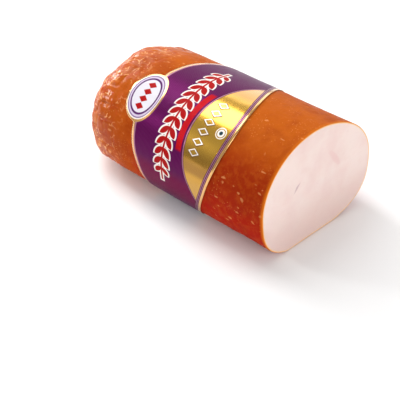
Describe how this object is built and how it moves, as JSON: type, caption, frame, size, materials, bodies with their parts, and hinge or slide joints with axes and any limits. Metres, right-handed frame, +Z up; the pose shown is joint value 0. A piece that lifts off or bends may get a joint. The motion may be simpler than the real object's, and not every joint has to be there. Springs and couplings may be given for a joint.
{
  "type": "smoked ham",
  "caption": "Pressed, smoked ham log, cut square at one end and rounded at the other, lying on its flattened side, with a printed label band around its middle.",
  "frame": {"origin": "centre of the bounding box's bottom, on the surface that the ham lies on", "axes": "+Z up, +X along the log towards its cut face, +Y across it"},
  "size_m": [0.212, 0.1262, 0.0963],
  "materials": {
    "ham": "satin smoked skin, orange to red-brown, with a pale pink moist cut face",
    "label_band": "glossy printed film, purple with gold foil"
  },
  "bodies": {
    "root": {"ham": "ham", "label_band": "label_band"}
  },
  "joints": []
}
